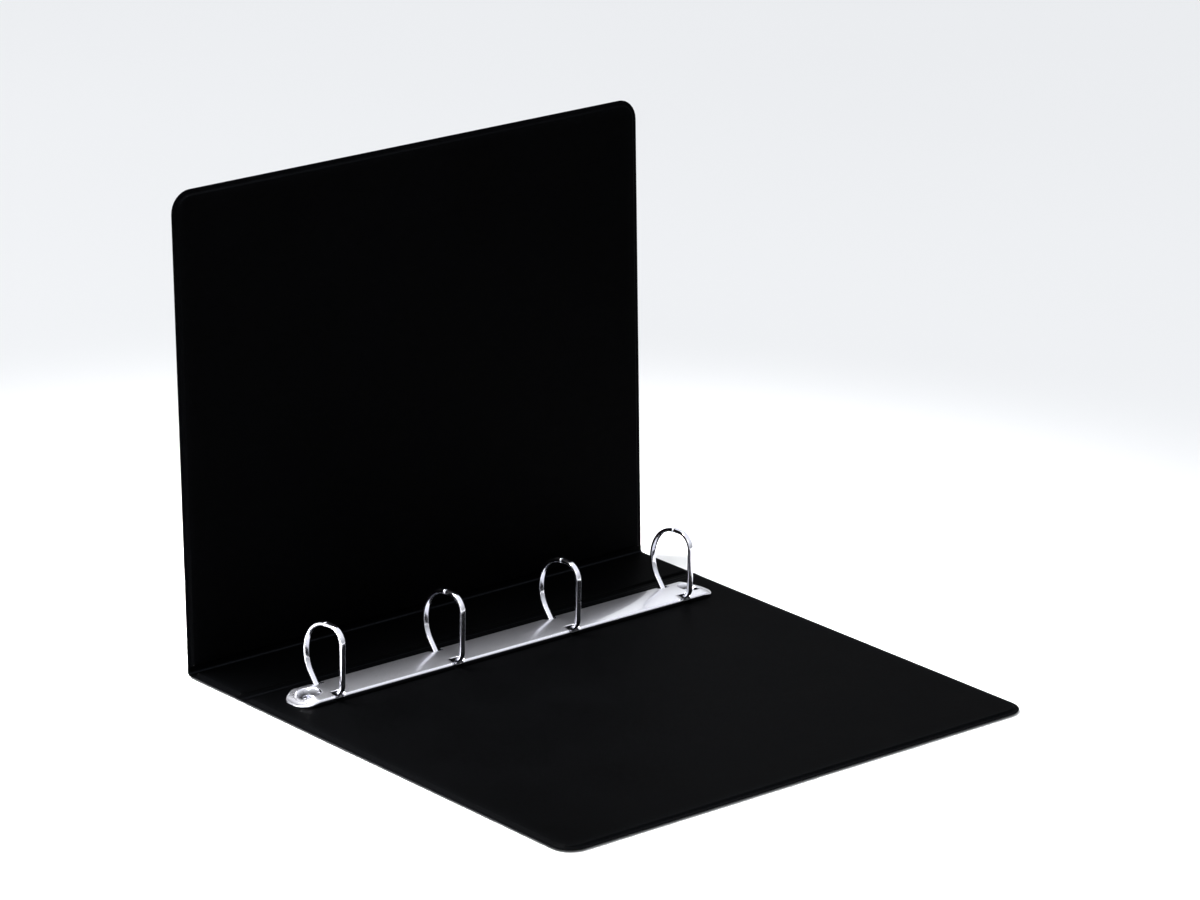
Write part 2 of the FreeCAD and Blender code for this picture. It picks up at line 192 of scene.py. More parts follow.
NOSE_Z = SEAT_Z + 0.2 * MM
NOSE_FALL = (132.5 * MM, 142.5 * MM)
NOSE_STEPS = 12
BEND_STEPS = 6
PLATE_ROW_STEP = 2.6 * MM
PLATE_END_ROW_STEP = 0.5 * MM
PLATE_COLUMN_STEP = 0.64 * MM
NOTCH_COLUMN_STEP = 0.6 * MM

# Stage
FLOOR_HALF = 12.0
FLOOR_Z = -0.1 * MM
CAMERA_PLACE = (2.1565, -1.7807, 1.0522)
CAMERA_YAW_DEG = -49.434
CAMERA_PITCH_DEG = 18.551
CAMERA_ROLL_DEG = 0.890
CAMERA_LENS_MM = 167.08
SKY_COLOUR = (0.95, 0.97, 1.0, 1)
SKY_AT_HORIZON = 0.35
SKY_ABOVE = 1.0
SKY_FULL_AT = 0.6


# ---- Small tools ----


def smooth(value, low, high):
    """0 before low, 1 after high, and an easy curve between."""
    t = min(max((value - low) / (high - low), 0.0), 1.0)
    return t * t * (3 - 2 * t)


def bell(value, centre, width):
    """A bump of height 1."""
    return math.exp(-((value - centre) / width) ** 2)


def evenly(start, end, step):
    """Places from start up to but not including end, about a step apart."""
    count = max(round((end - start) / step), 1)
    return [start + (end - start) * i / count for i in range(count)]


def widening(depths_mm, half_width):
    """The given depths, then wider and wider steps to near the middle; in metres."""
    depths = [depth * MM for depth in depths_mm]
    step = FIRST_STEP
    while depths[-1] + step < half_width - MIDDLE_GAP:
        depths.append(depths[-1] + step)
        step = min(step * STEP_GROWTH, LARGEST_STEP)
    return depths


def turn_about(point, angle):
    """The matrix that turns by angle about the line along Y through point."""
    return Matrix.Translation(point) @ Matrix.Rotation(angle, 4, "Y") @ Matrix.Translation(-point)


FLAT = Matrix.Identity(4)
UPRIGHT = turn_about(FRONT_HINGE, STAND_UP)


def flat_box(node, placing):
    """A CAD node's lowest and highest corners, with the panel laid flat again."""
    back = placing.inverted()
    points = [back @ v.co for v in frame["nodes"][node].data.vertices]
    low = Vector(min(p[i] for p in points) for i in range(3))
    high = Vector(max(p[i] for p in points) for i in range(3))
    return low, high


def make_object(name, verts, faces, material):
    """A smooth-shaded piece with one material."""
    mesh = bpy.data.meshes.new(name)
    mesh.from_pydata(verts, [], faces)
    mesh.validate()
    mesh.update()
    for polygon in mesh.polygons:
        polygon.use_smooth = True
    mesh.materials.append(material)
    piece = bpy.data.objects.new(name, mesh)
    bpy.context.scene.collection.objects.link(piece)
    return piece


def set_wear_and_painted_light(piece, values):
    """Keeps a value at each point for the material to read."""
    wear_and_painted_light = piece.data.attributes.new(WEAR_AND_PAINTED_LIGHT, "FLOAT", "POINT")
    for slot, value in zip(wear_and_painted_light.data, values):
        slot.value = value


def thicken(piece, thickness):
    """Gives a sheet its thickness, inwards from the surface that shows."""
    solid = piece.modifiers.new("thickness", "SOLIDIFY")
    solid.thickness = thickness
    solid.offset = -1


def face_outwards(piece):
    mesh = bmesh.new()
    mesh.from_mesh(piece.data)
    bmesh.ops.recalc_face_normals(mesh, faces=mesh.faces)
    mesh.to_mesh(piece.data)
    mesh.free()


def drop_loose(piece):
    """Removes the points that no face uses."""
    mesh = bmesh.new()
    mesh.from_mesh(piece.data)
    bmesh.ops.delete(mesh, geom=[v for v in mesh.verts if not v.link_faces], context="VERTS")
    mesh.to_mesh(piece.data)
    mesh.free()


def loops_to_faces(loops, closed_end):
    """Quads between each two neighbouring loops of equal length, and if asked a face over the last loop."""
    count = len(loops[0])
    verts = [p for loop in loops for p in loop]
    faces = []
    for i in range(len(loops) - 1):
        for j in range(count):
            k = (j + 1) % count
            faces.append((i * count + j, i * count + k, (i + 1) * count + k, (i + 1) * count + j))
    if closed_end:
        start = (len(loops) - 1) * count
        faces.append(tuple(start + j for j in range(count)))
    return verts, faces


def rounded_loop(x0, x1, y0, y1, low_r, high_r, arc_steps):
    """Points round a rounded rectangle: x, y, and how far each is on the low and on the high X side."""
    corners = [(x1, y0, high_r, -90), (x1, y1, high_r, 0), (x0, y1, low_r, 90), (x0, y0, low_r, 180)]
    arcs = []
    for index, (corner_x, corner_y, r, start_deg) in enumerate(corners):
        on_high = corner_x == x1
        centre_x = corner_x - r if on_high else corner_x + r
        centre_y = corner_y + r if corner_y == y0 else corner_y - r
        arc = []
        for step in range(arc_steps + 1):
            share = step / arc_steps
            angle = math.radians(start_deg + 90 * share)
            sideness = share if index in (0, 2) else 1 - share
            arc.append((centre_x + r * math.cos(angle), centre_y + r * math.sin(angle),
                        0.0 if on_high else sideness, sideness if on_high else 0.0))
        arcs.append(arc)
    loop = []
    for index, arc in enumerate(arcs):
        loop += arc
        start, end = arc[-1], arcs[(index + 1) % 4][0]
        steps = LOOP_STEPS_Y if index in (0, 2) else LOOP_STEPS_X
        for step in range(1, steps):
            loop.append(tuple(a + (b - a) * step / steps for a, b in zip(start, end)))
    return loop


# ---- Materials ----


class Look:
    """A node material under construction, with short calls for the nodes used here."""

    def __init__(self, name):
        self.material = bpy.data.materials.new(name)
        self.material.use_nodes = True
        self.tree = self.material.node_tree
        self.shader = self.tree.nodes["Principled BSDF"]
        self.place = self.node("ShaderNodeTexCoord").outputs["Object"]

    def node(self, kind, **settings):
        made = self.tree.nodes.new(kind)
        for key, value in settings.items():
            setattr(made, key, value)
        return made

    def link(self, source, target):
        self.tree.links.new(source, target)

    def fill(self, socket, value):
        if isinstance(value, bpy.types.NodeSocket):
            self.link(value, socket)
        else:
            socket.default_value = value

    def set(self, **values):
        for key, value in values.items():
            self.fill(self.shader.inputs[key.replace("_", " ")], value)

    def attribute(self, name):
        return self.node("ShaderNodeAttribute", attribute_name=name).outputs["Fac"]

    def noise(self, scale, detail=2.0, roughness=0.5, vector=None):
        made = self.node("ShaderNodeTexNoise")
        made.inputs["Scale"].default_value = scale
        made.inputs["Detail"].default_value = detail
        made.inputs["Roughness"].default_value = roughness
        self.link(vector or self.place, made.inputs["Vector"])
        return made.outputs["Fac"]

    def cells(self, scale, smoothness):
        made = self.node("ShaderNodeTexVoronoi", feature="SMOOTH_F1")
        made.inputs["Scale"].default_value = scale
        made.inputs["Smoothness"].default_value = smoothness
        self.link(self.place, made.inputs["Vector"])
        return made.outputs["Distance"]

    def ramp(self, value, low, high, low_out=0.0, high_out=1.0):
        made = self.node("ShaderNodeMapRange")
        self.fill(made.inputs["Value"], value)
        made.inputs["From Min"].default_value = low
        made.inputs["From Max"].default_value = high
        made.inputs["To Min"].default_value = low_out
        made.inputs["To Max"].default_value = high_out
        return made.outputs["Result"]

    def mix(self, share, low, high):
        """Inputs 6 and 7 and output 2 are the colour ones of this many-purpose node."""
        made = self.node("ShaderNodeMix", data_type="RGBA")
        self.fill(made.inputs["Factor"], share)
        self.fill(made.inputs[6], low)
        self.fill(made.inputs[7], high)
        return made.outputs[2]

    def maths(self, operation, a, b):
        made = self.node("ShaderNodeMath", operation=operation)
        self.fill(made.inputs[0], a)
        self.fill(made.inputs[1], b)
        return made.outputs[0]

    def bump(self, height, distance, strength=1.0, under=None):
        made = self.node("ShaderNodeBump")
        made.inputs["Distance"].default_value = distance
        made.inputs["Strength"].default_value = strength
        self.link(height, made.inputs["Height"])
        if under is not None:
            self.link(under, made.inputs["Normal"])
        return made.outputs["Normal"]


def plain(level):
    return (level, level, level, 1)


def grey(level):
    """A slightly blue grey."""
    return (level, level, level * 1.08, 1.0)


def black(level):
    """A bluer one, for vinyl."""
    return (level, level * 1.1, level * 1.35, 1.0)


def vinyl(name, base, contrast, roughness, specular, grain_size, grain_depth):
    """Black vinyl embossed with a fine leather grain, paler where it is worn, and with painted highlights
    where the mesh's mask holds them.
    """
    look = Look(name)
    fine = look.noise(1.7 / grain_size, detail=3.0)
    grain = look.maths("ADD", look.cells(1 / grain_size, 0.35), look.maths("MULTIPLY", fine, 0.6))
    patches = look.noise(18, detail=4.0)
    peel = look.noise(160)
    normal = look.bump(grain, grain_depth, strength=0.9)
    normal = look.bump(peel, 0.05 * MM, strength=0.6, under=normal)
    grain_tops = look.ramp(grain, 0.9, 0.45, high_out=0.7)
    tops = look.maths("ADD", grain_tops, look.ramp(patches, 0.35, 0.7, high_out=0.3))
    colour = look.mix(tops, black(base / contrast), black(base * contrast))
    # Paler where the mesh's mask is high: worn edges, and painted highlights on board edges, knurled dots
    # and hinge folds
    wear_and_highlight = look.maths("MULTIPLY", look.attribute(WEAR_AND_PAINTED_LIGHT), look.ramp(grain, 1.0, 0.4, low_out=0.4))
    look.set(Base_Color=look.mix(wear_and_highlight, colour, black(PALE_VINYL_WEAR_AND_HIGHLIGHT)),
             Roughness=look.ramp(patches, 0.3, 0.75, roughness - 0.05, roughness + 0.06),
             Specular_IOR_Level=specular, Normal=normal)
    return look.material


def film_look(name, painted_sheen_level, alpha):
    """Clear, glossy, slightly rippled pocket film, with a painted sheen that lightens its colour in soft
    clouds where the mesh's mask is high.
    """
    look = Look(name)
    ripple = look.noise(35, detail=3.0)
    peel = look.noise(420)
    clouds = look.noise(9)
    normal = look.bump(ripple, 0.25 * MM, strength=0.5)
    normal = look.bump(peel, 0.02 * MM, strength=0.5, under=normal)
    rippled = look.maths("ADD", look.attribute(WEAR_AND_PAINTED_LIGHT), look.maths("MULTIPLY", ripple, 0.3))
    painted_sheen = look.maths("MULTIPLY", look.ramp(rippled, 0.35, 1.15), look.ramp(clouds, 0.3, 0.7, low_out=0.5))
    look.set(Base_Color=look.mix(painted_sheen, grey(0.0006), grey(painted_sheen_level)),
             Roughness=look.ramp(painted_sheen, 0.0, 1.0, 0.10, 0.3), Specular_IOR_Level=0.055, Alpha=alpha,
             Normal=normal)
    return look.material


def brushed(look, depth):
    """Faint drawing marks that run along the mechanism's length."""
    stretch = look.node("ShaderNodeMapping")
    stretch.inputs["Scale"].default_value = (1.0, 0.06, 1.0)
    look.link(look.place, stretch.inputs["Vector"])
    marks = look.noise(3200, roughness=0.6, vector=stretch.outputs["Vector"])
    return look.bump(marks, depth, strength=0.6)


def nickel(name, dull, bright, roughness, brush_depth):
    """Plated or plain steel: drawing marks, and a few duller patches."""
    look = Look(name)
    patches = look.noise(60, detail=3.0)
    look.set(Base_Color=look.mix(look.ramp(patches, 0.3, 0.7), grey(dull), grey(bright)), Metallic=1.0,
             Roughness=look.ramp(patches, 0.3, 0.75, roughness, roughness + 0.07),
             Normal=brushed(look, brush_depth))
    return look.material


def plate_look():
    """Nickel plating on rolled sheet: fine satin grain under a clear top, burnished on its bends and sides.

    In the pressed seats of the rivets, where the mesh's mask is high, it is dull, without the clear top, and
    its colour is painted near black as painted shade.
    """
    look = Look("nickel_plate")
    seat = look.attribute(WEAR_AND_PAINTED_LIGHT)
    grain = look.noise(2200, detail=3.0, roughness=0.7)
    normal = look.node("ShaderNodeNewGeometry").outputs["Normal"]
    axes = look.node("ShaderNodeSeparateXYZ")
    look.link(normal, axes.inputs[0])
    level = look.ramp(axes.outputs["Z"], 0.75, 0.93)
    satin = look.ramp(grain, 0.3, 0.7, 0.20, 0.33)
    plated = look.mix(look.ramp(grain, 0.35, 0.65), grey(0.8), grey(0.95))
    # Painted shade: the colour goes near black in the rivet seats
    look.set(Base_Color=look.mix(seat, plated, grey(0.05)), Metallic=1.0,
             Roughness=look.maths("ADD", 0.06, look.maths("MULTIPLY", level, satin)),
             Normal=brushed(look, 0.0008 * MM),
             Coat_Weight=look.maths("MULTIPLY", level, look.maths("SUBTRACT", 1.0, seat)),
             Coat_Roughness=0.03, Coat_IOR=3.2)
    return look.material


def board_look():
    """Grey pressed board with fibre flecks."""
    look = Look("greyboard")
    fibres = look.noise(900, detail=5.0, roughness=0.7)
    look.set(Base_Color=look.mix(fibres, (0.22, 0.21, 0.19, 1), (0.42, 0.40, 0.37, 1)), Roughness=0.9,
             Normal=look.bump(fibres, 0.1 * MM, strength=0.5))
    return look.material


def floor_look():
    """Plain pale floor with a barely visible unevenness."""
    look = Look("pale_floor")
    look.set(Base_Color=look.mix(look.noise(1.5), plain(0.88), plain(0.91)), Roughness=0.8,
             Specular_IOR_Level=0.2)
    return look.material


VINYL = vinyl("vinyl_outside", 0.0028, 2.6, 0.34, 0.06, 1.1 * MM, 0.10 * MM)
VINYL_INSIDE = vinyl("vinyl_inside", 0.0005, 2.0, 0.55, 0.008, 0.8 * MM, 0.04 * MM)
VINYL_WEB = vinyl("vinyl_hinge", 0.0005, 1.7, 0.45, 0.010, 0.7 * MM, 0.015 * MM)
# Painted sheen: the films' colour rises to these levels towards the hinge side at high X
FRONT_FILM = film_look("clear_film_front", 0.018, 0.5)
SPINE_FILM = film_look("clear_film_spine", 0.002, 0.2)
RING_LOOK = nickel("nickel_ring", 0.82, 0.94, 0.12, 0.001 * MM)
PLATE_LOOK = plate_look()
# Painted shade: the blades are near black so the plate's notches read as shaded holes
BLADE_SHADE_LOOK = nickel("blade_steel", 0.08, 0.16, 0.45, 0.004 * MM)
BOARD_LOOK = board_look()


# ---- Vinyl panels ----


class Panel:
    """One cover panel laid flat: its vinyl outline, and which of its ends in X are at a hinge."""

    def __init__(self, key, body, placing, low_is_hinge, high_is_hinge):
        self.key = key
        self.body = body
        self.placing = placing
        self.hinges = (low_is_hinge, high_is_hinge)
        self.corner_rs = [HINGE_CORNER_R if is_hinge else CORNER_R for is_hinge in self.hinges]
        self.low, self.high = flat_box(key + "_liner", placing)
        self.outside_low = flat_box(key + "_outer_skin", placing)[0].z

    def loop(self, depth):
        """The outline moved inwards by depth; at a hinge, the rim is squeezed to its narrow width."""
        squeezed = HINGE_RIM / RIM * min(depth, RIM) + max(depth - RIM, 0.0)
        low_inset, high_inset = (squeezed if is_hinge else depth for is_hinge in self.hinges)
        low_r, high_r = self.corner_rs
        return rounded_loop(self.low.x + low_inset, self.high.x - high_inset, self.low.y + depth,
                            self.high.y - depth, max(low_r - low_inset, SMALLEST_R),
                            max(high_r - high_inset, SMALLEST_R), PANEL_ARC_STEPS)

    def half(self, side, node, look, slot_name, sway):
        """The outside or the inside sheet: its outer face as loops from the rim to the middle."""
        outside = side == "outside"
        way = -1 if outside else 1
        top = (MID_Z - self.outside_low) if outside else (self.high.z - MID_Z)
        half_width = min(self.high.x - self.low.x, self.high.y - self.low.y) / 2
        loops = []
        wear_and_painted_light = []
        for depth in widening(PANEL_DEPTHS_MM, half_width):
            free = rim_height(depth, top)
            hinged = hinge_side_height(depth, top)
            # Worn free edges are a little paler; on the outside, a painted highlight runs along the board's
            # edge beside a hinge
            free_wear = EDGE_WEAR * (1 - smooth(depth, 0.0, EDGE_WEAR_REACH))
            board_edge_highlight = BOARD_EDGE_HIGHLIGHT if outside else 0.0
            hinged_highlight = board_edge_highlight * bell(depth, BOARD_EDGE_DEPTH, BOARD_EDGE_HALF)
            loop = []
            for x, y, on_low, on_high in self.loop(depth):
                at_hinge = (on_low if self.hinges[0] else 0.0) + (on_high if self.hinges[1] else 0.0)
                height = free + (hinged - free) * at_hinge
                height += sway * smooth(depth, *SWAY_RISE) * sway_at(x, y, outside)
                loop.append(self.placing @ Vector((x, y, MID_Z + way * height)))
                wear_and_painted_light.append(hinged_highlight * at_hinge + free_wear * (1 - at_hinge))
            loops.append(loop)
        verts, faces = loops_to_faces(loops, True)
        if outside:
            faces = [tuple(reversed(face)) for face in faces]
        piece = make_object(self.key + "_" + side, verts, faces, look)
        set_wear_and_painted_light(piece, wear_and_painted_light)
        thicken(piece, SHEET)
        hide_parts(node)
        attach(piece, self.body)


def rim_height(depth, top):
    """Half thickness at a free edge: rounded rim, weld groove, then the rise over the board's edge."""
    height = RIM_HALF + (top - RIM_HALF) * smooth(depth, *BOARD_RISE)
    height -= WELD_GROOVE * bell(depth, WELD_DEPTH, WELD_HALF)
    if depth < RIM_ROUND:
        height -= RIM_HALF * RIM_ROUND_SHARE * (1 - math.sqrt(1 - (1 - depth / RIM_ROUND) ** 2))
    return height


def hinge_side_height(depth, top):
    """Half thickness beside a hinge: level with the web, then up to the board's face."""
    return RIM_HALF + (top - RIM_HALF) * smooth(depth, *HINGE_BOARD_RISE)


def sway_at(x, y, outside):
    """Gentle unevenness of a sheet that is stretched over board, between -1 and 1."""
    shift = 3.7 if outside else 0.0
    return noise.noise(Vector((x * 14 + shift, y * 11, shift)))


def make_panels():
    back = Panel("back", "back_cover", FLAT, True, False)
    spine = Panel("spine", "spine", FLAT, True, True)
    front = Panel("front", "front_cover", UPRIGHT, False, True)
    for panel in (back, spine, front):
        panel.half("outside", panel.key + "_outer_skin", VINYL, "vinyl", OUTSIDE_SWAY)
        panel.half("inside", panel.key + "_liner", VINYL_INSIDE, "vinyl_inside", INSIDE_SWAY)
    return back, spine, front


# ---- Hinge webs ----


def web_point(hinge, turn, s):
    """Middle of the web at s along it (negative on the low-X side), and its direction towards low X."""
    ahead = Vector((1, 0, 0))
    behind = Vector((-math.cos(turn), 0, math.sin(turn)))
    if s >= BEND_REACH:
        return hinge + ahead * s, -ahead
    if s <= -BEND_REACH:
        return hinge - behind * s, behind
    t = (BEND_REACH - s) / (2 * BEND_REACH)
    start = ahead * BEND_REACH
    end = behind * BEND_REACH
    point = hinge + start * (1 - t) ** 2 + end * t ** 2
    direction = (end * t - start * (1 - t)).normalized()
    return point, direction


def knurl(s, y):
    """From 0 to 1, how far up a knurled dot this is."""
    dots = 0.5 + 0.5 * math.cos(2 * math.pi * y / KNURL_PITCH)
    return dots * bell(abs(s), KNURL_AT, KNURL_HALF)


def web_height(s, y, outside):
    """Half thickness of the web: weld beads and two rows of knurled dots outside, a soft fold inside."""
    if outside:
        return WEB_HALF + BEAD_HEIGHT * bell(abs(s), BEAD_AT, BEAD_HALF) + KNURL_HEIGHT * knurl(s, y)
    valleys = VALLEY_DEPTH * bell(abs(s), VALLEY_AT, VALLEY_HALF)
    return WEB_HALF + FOLD_HEIGHT * bell(s, 0.0, FOLD_HALF) - valleys


def make_web(name, node, hinge, turn, reach, y0, y1, crease_highlight):
    """The welded strip at one hinge, bent as it is at rest, with a painted highlight along the fold inside
    and on the knurled dots outside.
    """
    across = [reach * (2 * i / WEB_STEPS - 1) for i in range(WEB_STEPS + 1)]
    rows = round((y1 - y0) / (KNURL_PITCH / 2))
    loops = []
    wear_and_painted_light = []
    for row in range(rows + 1):
        y = y0 + (y1 - y0) * row / rows
        loop = []
        for outside in (True, False):
            for s in (across if outside else reversed(across)):
                point, direction = web_point(hinge, turn, s)
                outward = Vector((-direction.z, 0, direction.x))
                outward = outward if outward.dot(Vector((-1, 0, -1))) > 0 else -outward
                way = 1 if outside else -1
                spot = point + outward * (way * web_height(s, y, outside))
                loop.append(Vector((spot.x, y, spot.z)))
                # Painted highlights: on the knurled dots outside, and along the fold inside
                wear_and_painted_light.append(KNURL_HIGHLIGHT * knurl(s, y) if outside else crease_highlight * bell(s, 0.0, CREASE_HALF))
        loops.append(loop)
    verts, faces = loops_to_faces(loops, True)
    faces.append(tuple(reversed(range(len(loops[0])))))
    piece = make_object(name, verts, faces, VINYL_WEB)
    set_wear_and_painted_light(piece, wear_and_painted_light)
    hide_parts(node)
    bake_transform(piece)


def make_webs(back, spine):
    y0, y1 = back.low.y, back.high.y
    back_reach = back.low.x - SPINE_HINGE.x + WEB_OVERLAP
    front_reach = spine.low.x - FRONT_HINGE.x + WEB_OVERLAP
    make_web("back_hinge", "back_hinge_web", SPINE_HINGE, 0.0, back_reach, y0, y1,
             BACK_CREASE_HIGHLIGHT)
    make_web("front_hinge", "front_hinge_web", FRONT_HINGE, STAND_UP, front_reach, y0, y1,
             FRONT_CREASE_HIGHLIGHT)


# ---- Pocket films ----


def film_wave(x, y):
    """Uneven lie of a loose film, mostly between -1 and 1."""
    return noise.noise(Vector((x * 9, y * 7, 5.2))) + 0.5 * noise.noise(Vector((x * 22, y * 17, 1.3)))


def make_film(panel, node, look, bulge):
    """The clear pocket: welded on three sides, free and a little open along its top edge."""
    low, high = flat_box(node, panel.placing)
    skin = MID_Z - panel.outside_low
    half_width = min(high.x - low.x, high.y - low.y) / 2
    loops = []
    painted_sheen = []
    for depth in widening(FILM_DEPTHS_MM, half_width):
        corner_r = max(FILM_CORNER_R - depth, SMALLEST_R)
        inner = smooth(depth, *FILM_LIFT_RISE)
        loop = []
        for x, y, _, _ in rounded_loop(low.x + depth, high.x - depth, low.y + depth, high.y - depth,
                                       corner_r, corner_r, FILM_ARC_STEPS):
            at_mouth = smooth(y, high.y - MOUTH_REACH, high.y)
            lifted = max(inner, at_mouth) if high.y - y < MOUTH_DEPTH + depth else inner
            height = skin + FILM_HEIGHT + FILM_LIFT * lifted
            height -= FILM_WELD_GROOVE * bell(depth, FILM_WELD_DEPTH, FILM_WELD_HALF) * (1 - at_mouth)
            height += bulge * smooth(depth, *BULGE_RISE) * (0.6 + film_wave(x, y))
            loop.append(panel.placing @ Vector((x, y, MID_Z - height)))
            # Painted sheen: a mask that rises from the film's low-X edge to its hinge side at high X
            painted_sheen.append((x - low.x) / (high.x - low.x))
        loops.append(loop)
    verts, faces = loops_to_faces(loops, True)
    faces = [tuple(reversed(face)) for face in faces]
    piece = make_object(node.replace("_film", ""), verts, faces, look)
    set_wear_and_painted_light(piece, painted_sheen)
    thicken(piece, FILM_SHEET)
    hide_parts(node)
    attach(piece, panel.body)


# ---- Rings ----


class Wire:
    """The middle line of a bent wire in the XZ plane, drawn forwards from one end."""

    def __init__(self, x, z, heading_deg):
        self.spot = Vector((x, 0, z))
        self.heading = math.radians(heading_deg)
        self.points = [(self.spot.copy(), self.heading)]

    def ahead(self):
        return Vector((math.cos(self.heading), 0, math.sin(self.heading)))

    def straight(self, length):
        steps = max(round(length / WIRE_STEP), 1)
        for _ in range(steps):
            self.spot = self.spot + self.ahead() * (length / steps)
            self.points.append((self.spot.copy(), self.heading))

    def bend(self, radius, turn_deg):
        steps = max(round(abs(turn_deg) / WIRE_BEND_STEP_DEG), 1)
        turn = math.radians(turn_deg) / steps
        for _ in range(steps):
            self.heading += turn / 2
            self.spot = self.spot + self.ahead() * (2 * radius * math.sin(abs(turn) / 2))
            self.heading += turn / 2
            self.points.append((self.spot.copy(), self.heading))


def left_wire():
    """From the foot up the leaning leg, then one large round side over to the tip."""
    lean = math.radians(LEFT_LEG_DEG)
    height = RING_TOP_Z - LEFT_R - BLADE_PIVOT_Z
    centre_x = (LEFT_R - height * math.sin(lean)) / math.cos(lean) - FOOT_X
    leg = (height - LEFT_R * math.sin(lean)) / math.cos(lean)
    wire = Wire(-FOOT_X, BLADE_PIVOT_Z, 90 + LEFT_LEG_DEG)
    wire.straight(leg)
    wire.bend(LEFT_R, -(90 + LEFT_LEG_DEG - math.degrees(math.asin(centre_x / LEFT_R))))
    return wire.points


def right_wire():
    """Up the leaning leg, round to the straight post, and round again to the flat top."""
    half_turn = math.tan(math.radians(RIGHT_LEG_DEG / 2))
    lean = math.radians(RIGHT_LEG_DEG)
    bend_start = RIGHT_LOWER_BEND_R * half_turn
    post_z = BLADE_PIVOT_Z + (POST_X - FOOT_X) / math.tan(lean) + bend_start
    wire = Wire(FOOT_X, BLADE_PIVOT_Z, 90 - RIGHT_LEG_DEG)
    wire.straight((POST_X - FOOT_X) / math.sin(lean) - bend_start)
    wire.bend(RIGHT_LOWER_BEND_R, RIGHT_LEG_DEG)
    wire.straight(RING_TOP_Z - RIGHT_TOP_BEND_R - post_z)
    wire.bend(RIGHT_TOP_BEND_R, 90)
    wire.straight(POST_X - RIGHT_TOP_BEND_R)
    return wire.points


def band_section():
    """(across the band, along Y) round the flattened wire from its outer face, split in two at y = 0."""
    half = []
    for step in range(BAND_STEPS + 1):
        angle = math.radians(90 - 180 * step / BAND_STEPS)
        across = math.copysign(abs(math.sin(angle)) ** BAND_SQUARENESS, math.sin(angle))
        along = max(math.cos(angle), 0.0) ** BAND_SQUARENESS
        half.append((across * BAND_THICKNESS / 2, along * BAND_WIDTH / 2))
    right = [(across, max(y, BAND_SEAM)) for across, y in half]
    left = [(across, -y) for across, y in reversed(right)]
    return right + left


def make_ring(name, points, way, y, node, body):
    """One ring half: a band swept along its wire, a little wider at its tip, which has a step."""
    section = band_section()
    last = len(points) - 1
    loops = []
    for index, (spot, heading) in enumerate(points):
        forward = Vector((math.cos(heading), 0, math.sin(heading)))
        sideways = Vector((-math.sin(heading), 0, math.cos(heading))) * way
        to_tip = (points[last][0] - spot).length
        flare = 1 + TIP_FLARE * (1 - smooth(to_tip, *TIP_FLARE_FALL))
        loop = []
        for across, along in section:
            reach = math.copysign(TONGUE_REACH, along) * way - TIP_GAP / 2 if index == last else 0.0
            offset = sideways * (across * flare) + Vector((0, y + along * flare, 0))
            loop.append(spot + forward * reach + offset)
        loops.append(loop)
    verts, faces = loops_to_faces(loops, False)
    count = len(section)
    half = count // 2
    start = last * count
    caps = [tuple(range(start, start + half)), tuple(range(start + half, start + count)),
            (start, start + half - 1, start + half, start + count - 1), tuple(reversed(range(count)))]
    piece = make_object(name, verts, faces + caps, RING_LOOK)
    for polygon in list(piece.data.polygons)[-len(caps):]:
        polygon.use_smooth = False
    face_outwards(piece)
    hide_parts(node)
    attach(piece, body)


def make_rings():
    for side, way, wire in (("left", -1, left_wire()), ("right", 1, right_wire())):
        for number, y in enumerate(RING_YS, 1):
            make_ring(f"{side}_ring_{number}", wire, way, y, f"ring_{side}_{number}", side + "_rings")


# ---- The mechanism's cover plate ----


def plate_top(x, y):
    """Height of the pressed sheet: an arch that runs down to a nose, with a seat round each rivet."""
    z = PLATE_HIGH.z - PLATE_RISE * (x / PLATE_HALF_WIDTH) ** 2
    z += (NOSE_Z - z) * smooth(abs(y), *NOSE_FALL)
    from_rivet = math.hypot(x, abs(y) - RIVET_Y)
    return SEAT_Z + (z - SEAT_Z) * smooth(from_rivet, SEAT_R, SEAT_R + SEAT_WALL)


def plate_rows():
    """(y, half width inside the bend, outward angle) of each row across the plate, from low to high Y."""
    nose_r = PLATE_NOSE_R - PLATE_BEND
    corner_y = PLATE_HALF_LENGTH - PLATE_NOSE_R
    edges = [0.0] + [y + way * NOTCH_HALF for y in RING_YS if y > 0 for way in (-1, 1)]
    half = [y for start, end in zip(edges, edges[1:]) for y in evenly(start, end, PLATE_ROW_STEP)]
    half += evenly(edges[-1], corner_y, PLATE_END_ROW_STEP)
    rows = [(y, PLATE_INNER, 0.0) for y in half]
    for step in range(NOSE_STEPS + 1):
        angle = math.pi / 2 * step / NOSE_STEPS
        width = PLATE_INNER - nose_r * (1 - math.cos(angle))
        rows.append((corner_y + nose_r * math.sin(angle), width, angle))
    return [(-y, width, -angle) for y, width, angle in reversed(rows[1:])] + rows


def in_notch(y):
    return any(abs(y - ring_y) < NOTCH_HALF for ring_y in RING_YS)


def plate_grid(rows, columns):
    """Points and faces of the arch inside its bend, with the notches left out."""
    verts = []
    for y, width, _ in rows:
        places = [x * width / PLATE_INNER for x in columns]
        verts += [Vector((x, y, plate_top(x, y))) for x in places]
    across = len(columns)
    faces = []
    for i in range(len(rows) - 1):
        for j in range(across - 1):
            x = (columns[j] + columns[j + 1]) / 2
            if abs(x) < NOTCH_INNER_X or not in_notch((rows[i][0] + rows[i + 1][0]) / 2):
                k = i * across + j
                faces.append((k, k + 1, k + across + 1, k + across))
    return verts, faces


